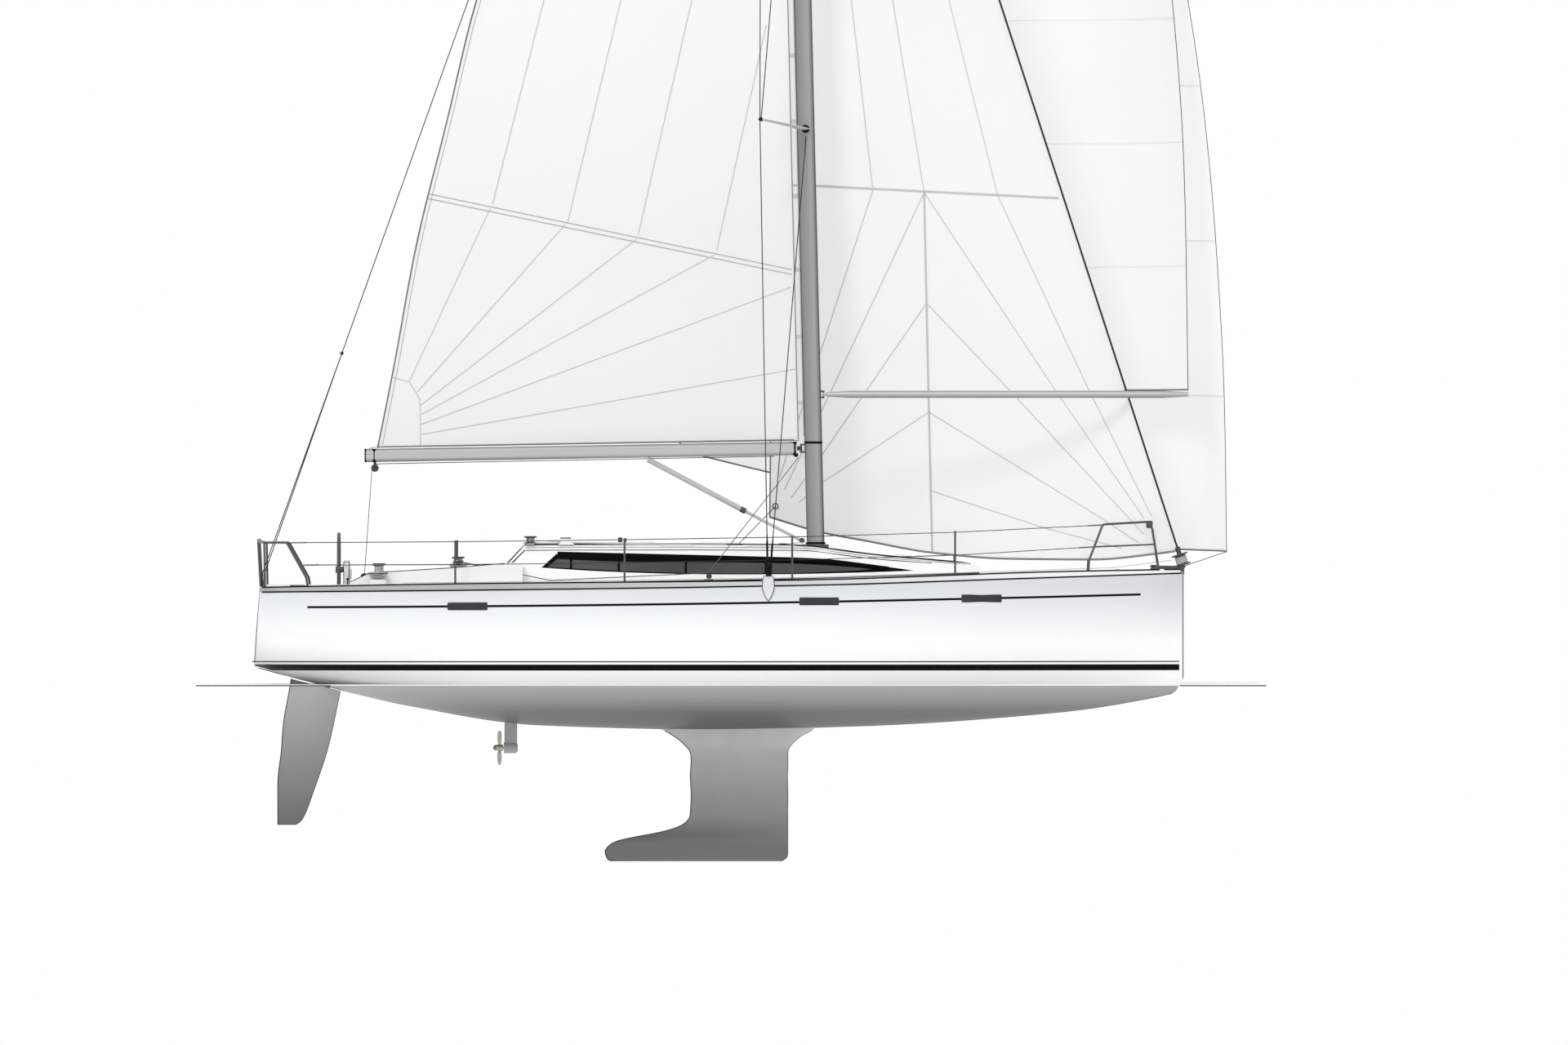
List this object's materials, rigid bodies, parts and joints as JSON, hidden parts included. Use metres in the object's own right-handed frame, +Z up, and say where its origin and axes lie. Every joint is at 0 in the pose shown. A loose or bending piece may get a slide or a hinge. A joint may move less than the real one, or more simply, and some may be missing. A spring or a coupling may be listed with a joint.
{
  "type": "sailing yacht",
  "caption": "Modern sloop-rigged cruiser-racer yacht with bulb keel, spade rudder, steering wheels, mainsail, jib, spinnaker on its pole and gennaker.",
  "frame": {"origin": "centre of the designed waterline plane, midway between the stem and the stern", "axes": "+X towards the bow, +Y to port, +Z up"},
  "size_m": [11.7624, 6.5138, 20.082],
  "materials": {
    "topsides": "gloss",
    "deck_gelcoat": "satin",
    "rail_grey": "satin",
    "black_surround": "gloss",
    "smoked_glass": "gloss",
    "cabin_floor": "satin",
    "engine_paint": "satin",
    "rig_alloy": "satin",
    "keel_paint": "matte",
    "rudder_paint": "matte",
    "drive_paint": "satin",
    "bronze": "satin",
    "mast_alloy": "satin",
    "boom_alloy": "satin",
    "stainless": "polished",
    "chrome_steel": "polished",
    "black_plastic": "satin",
    "sailcloth": "matte",
    "light_sailcloth": "matte"
  },
  "bodies": {
    "yacht": {"hull": "topsides", "deck": "deck_gelcoat", "toe_rail": "rail_grey", "cockpit": "deck_gelcoat", "coachroof": "deck_gelcoat", "window_bands": "black_surround", "window_panes": "smoked_glass", "cabin_sole": "cabin_floor", "engine": "engine_paint", "hatch_frames": "rig_alloy", "hatch_runners": "deck_gelcoat", "washboard": "smoked_glass", "keel": "keel_paint", "saildrive_leg": "drive_paint", "mast": "mast_alloy", "mast_step": "rig_alloy", "spreaders": "mast_alloy", "mast_fittings": "stainless", "forestay": "rig_alloy", "furler_drum": "black_plastic", "backstay": "stainless", "cap_shrouds": "stainless", "diagonal_shrouds": "stainless", "chainplates": "topsides", "jib": "sailcloth", "gennaker": "light_sailcloth", "pulpit": "stainless", "pushpits": "stainless", "stanchions": "stainless", "winches": "chrome_steel", "rope_clutches": "black_plastic", "mooring_cleats": "stainless", "bow_fitting": "stainless", "mainsheet_traveller": "black_plastic", "steering_pedestals": "deck_gelcoat"},
    "rudder": {"rudder_blade": "rudder_paint", "rudder_stock": "stainless"},
    "wheel_port": {"steering_wheel_port": "stainless"},
    "wheel_starboard": {"steering_wheel_starboard": "stainless"},
    "propeller": {"propeller_hub": "bronze", "propeller_blades": "bronze"},
    "boom": {"boom": "boom_alloy", "boom_fittings": "black_plastic", "kicker": "boom_alloy", "mainsail": "sailcloth"},
    "spinnaker_pole": {"spinnaker_pole": "boom_alloy", "spinnaker": "light_sailcloth"},
    "fore_hatch": {"fore_hatch": "smoked_glass"},
    "saloon_hatch": {"saloon_hatch": "smoked_glass"},
    "companionway_hatch": {"companionway_hatch": "smoked_glass"},
    "locker_lid_port": {"cockpit_locker_lid_port": "deck_gelcoat"},
    "locker_lid_starboard": {"cockpit_locker_lid_starboard": "deck_gelcoat"},
    "anchor_locker_lid": {"anchor_locker_lid": "deck_gelcoat"},
    "transom_platform": {"transom_platform": "topsides"}
  },
  "joints": [
    {"name": "rudder_turn", "type": "hinge", "parent": "yacht", "child": "rudder", "pos_m": [-5.1, 0, 0], "axis": [0.2195, 0, 0.9756], "range_deg": [-35, 35]},
    {"name": "wheel_port_turn", "type": "hinge", "parent": "yacht", "child": "wheel_port", "pos_m": [-4.965, 0.8, 1.386], "axis": [1, 0, 0], "range_deg": [-270, 270]},
    {"name": "wheel_starboard_turn", "type": "hinge", "parent": "yacht", "child": "wheel_starboard", "pos_m": [-4.965, -0.8, 1.386], "axis": [1, 0, 0], "range_deg": [-270, 270]},
    {"name": "propeller_turn", "type": "hinge", "parent": "yacht", "child": "propeller", "pos_m": [-3.024, 0, -0.769], "axis": [1, 0, 0], "continuous": true},
    {"name": "boom_swing", "type": "hinge", "parent": "yacht", "child": "boom", "pos_m": [0.62, 0, 2.85], "axis": [-0.0237, 0, 0.9997], "range_deg": [-55, 55]},
    {"name": "pole_swing", "type": "hinge", "parent": "yacht", "child": "spinnaker_pole", "pos_m": [0.888, 0, 3.503], "axis": [-0.0237, 0, 0.9997], "range_deg": [-75, 0]},
    {"name": "fore_hatch_hinge", "type": "hinge", "parent": "yacht", "child": "fore_hatch", "pos_m": [2.22051, 0, 1.51399], "axis": [0, 1, 0], "range_deg": [0, 90]},
    {"name": "saloon_hatch_hinge", "type": "hinge", "parent": "yacht", "child": "saloon_hatch", "pos_m": [-0.6, 0, 1.705], "axis": [0, -1, 0], "range_deg": [0, 90]},
    {"name": "companionway_hatch_slide", "type": "slide", "parent": "yacht", "child": "companionway_hatch", "axis": [1, 0, 0], "range_m": [0, 0.7]},
    {"name": "locker_lid_port_hinge", "type": "hinge", "parent": "yacht", "child": "locker_lid_port", "pos_m": [-3.8, 0.85, 1.196], "axis": [-1, 0, 0], "range_deg": [0, 90]},
    {"name": "locker_lid_starboard_hinge", "type": "hinge", "parent": "yacht", "child": "locker_lid_starboard", "pos_m": [-3.8, -0.85, 1.196], "axis": [1, 0, 0], "range_deg": [0, 90]},
    {"name": "anchor_locker_lid_hinge", "type": "hinge", "parent": "yacht", "child": "anchor_locker_lid", "pos_m": [4.82, 0, 1.369], "axis": [0, 1, 0], "range_deg": [0, 90]},
    {"name": "transom_platform_hinge", "type": "hinge", "parent": "yacht", "child": "transom_platform", "pos_m": [-5.999, 0, 0.276], "axis": [0, -1, 0], "range_deg": [0, 90]}
  ],
  "couplings": [
    {"joint": "wheel_port_turn", "follows": "rudder_turn", "ratio": 7.714},
    {"joint": "wheel_starboard_turn", "follows": "rudder_turn", "ratio": 7.714}
  ]
}
